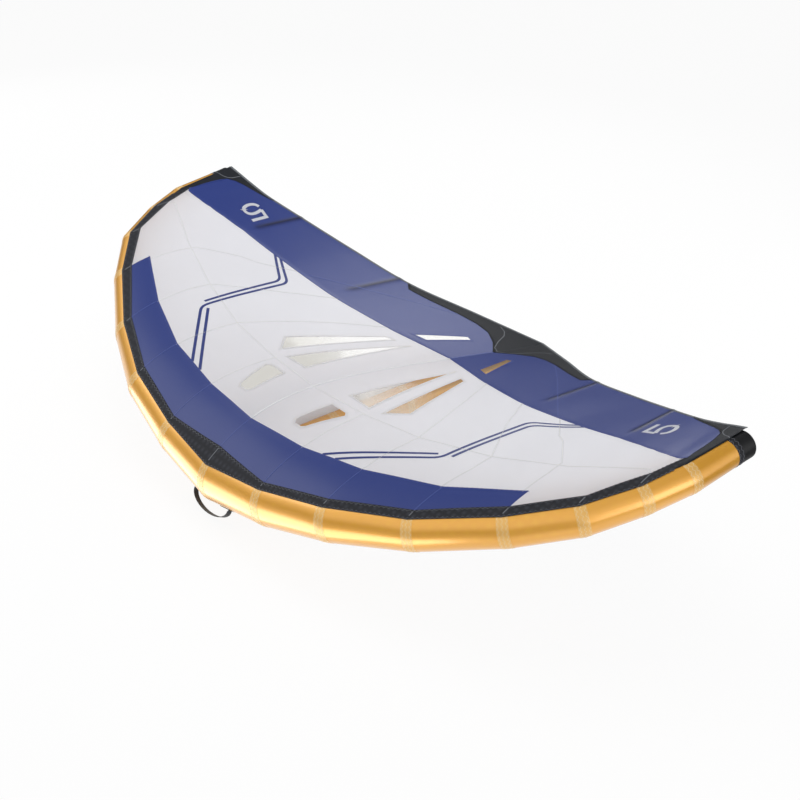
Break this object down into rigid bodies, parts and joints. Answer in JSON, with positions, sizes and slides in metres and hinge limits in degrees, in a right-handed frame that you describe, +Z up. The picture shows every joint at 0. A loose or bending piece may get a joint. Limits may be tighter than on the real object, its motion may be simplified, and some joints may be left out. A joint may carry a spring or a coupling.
{
  "type": "wingfoil wing",
  "caption": "Hand-held inflatable wing: curved leading edge tube, centre strut with two rigid handles, panelled canopy with film windows and battens.",
  "frame": {"origin": "centre of the front hand grip, on the bar's axis", "axes": "+X towards the right-hand tip, -Y towards the nose, +Z up through the canopy"},
  "size_m": [3.3512, 2.0662, 0.8081],
  "materials": {
    "gold_case": "coated polyester, taut and satin",
    "black_cloth": "woven ripstop",
    "white_cloth": "woven ripstop",
    "blue_cloth": "woven ripstop",
    "clear_film": "clear film",
    "bladder_film": "urethane film",
    "grey_hem": "folded tape",
    "glass_fibre": "pultruded strip",
    "black_webbing": "woven webbing",
    "carbon_tube": "lacquered carbon",
    "foam": "closed-cell foam",
    "black_plastic": "moulded",
    "blue_plastic": "moulded",
    "silicone": "moulded"
  },
  "bodies": {
    "root": {"leading_edge_case": "gold_case", "strut_case": "gold_case", "tip_cap_left": "black_plastic", "joining_strip_left": "black_cloth", "front_band_left": "blue_cloth", "main_panel_left": "white_cloth", "rear_band_left": "blue_cloth", "window_a_left": "clear_film", "window_b_left": "clear_film", "window_c_left": "clear_film", "window_d_left": "clear_film", "tail_patch_left": "black_cloth", "tip_patch_left": "black_cloth", "trailing_edge_hem_left": "grey_hem", "batten_pocket_inner_left": "black_cloth", "batten_inner_left": "glass_fibre", "batten_pocket_outer_left": "black_cloth", "batten_outer_left": "glass_fibre", "handle_anchor_left": "black_webbing", "tip_cap_right": "black_plastic", "joining_strip_right": "black_cloth", "front_band_right": "blue_cloth", "main_panel_right": "white_cloth", "rear_band_right": "blue_cloth", "window_a_right": "clear_film", "window_b_right": "clear_film", "window_c_right": "clear_film", "window_d_right": "clear_film", "tail_patch_right": "black_cloth", "tip_patch_right": "black_cloth", "trailing_edge_hem_right": "grey_hem", "batten_pocket_inner_right": "black_cloth", "batten_inner_right": "glass_fibre", "batten_pocket_outer_right": "black_cloth", "batten_outer_right": "glass_fibre", "handle_anchor_right": "black_webbing", "leading_edge_bladder": "bladder_film", "strut_bladder": "bladder_film", "strut_web": "white_cloth", "front_handle_bar": "carbon_tube", "front_handle_sleeve": "foam", "front_handle_fore_bracket": "black_plastic", "front_handle_aft_bracket": "black_plastic", "rear_handle_bar": "carbon_tube", "rear_handle_sleeve": "foam", "rear_handle_fore_bracket": "black_plastic", "rear_handle_aft_bracket": "black_plastic", "nose_valve_body": "black_plastic", "strut_valve_body": "black_plastic"},
    "nose_handle": {"leading_edge_handle": "black_webbing"},
    "leash": {"leash_loop": "black_webbing"},
    "nose_cap": {"nose_valve_cap": "blue_plastic"},
    "nose_bayonet": {"nose_valve_insert": "blue_plastic", "nose_valve_flap": "silicone"},
    "strut_cap": {"strut_valve_cap": "blue_plastic"},
    "strut_bayonet": {"strut_valve_insert": "blue_plastic", "strut_valve_flap": "silicone"}
  },
  "joints": [
    {"name": "nose_handle_swing", "type": "hinge", "parent": "root", "child": "nose_handle", "pos_m": [0, -0.6541, 0.0442], "axis": [1, 0, 0], "range_deg": [-60, 60]},
    {"name": "leash_loop_swing", "type": "hinge", "parent": "root", "child": "leash", "pos_m": [0, -0.224, 0.0543], "axis": [0, 0.9984, 0.0557], "range_deg": [-70, 70]},
    {"name": "nose_cap_flip", "type": "hinge", "parent": "root", "child": "nose_cap", "pos_m": [0.2145, -0.4802, 0.1144], "axis": [0.9888, 0.0089, 0.1488], "range_deg": [0, 150]},
    {"name": "nose_bayonet_turn", "type": "hinge", "parent": "root", "child": "nose_bayonet", "pos_m": [0.2161, -0.5087, 0.1051], "axis": [0.0882, 0.7699, -0.6321], "range_deg": [0, 60]},
    {"name": "strut_cap_flip", "type": "hinge", "parent": "root", "child": "strut_cap", "pos_m": [-0.1125, -0.3129, 0.1211], "axis": [0.0093, 0.9981, 0.061], "range_deg": [0, 150]},
    {"name": "strut_bayonet_turn", "type": "hinge", "parent": "root", "child": "strut_bayonet", "pos_m": [-0.086, -0.3122, 0.107], "axis": [-0.8663, 0.0385, -0.498], "range_deg": [0, 60]}
  ]
}
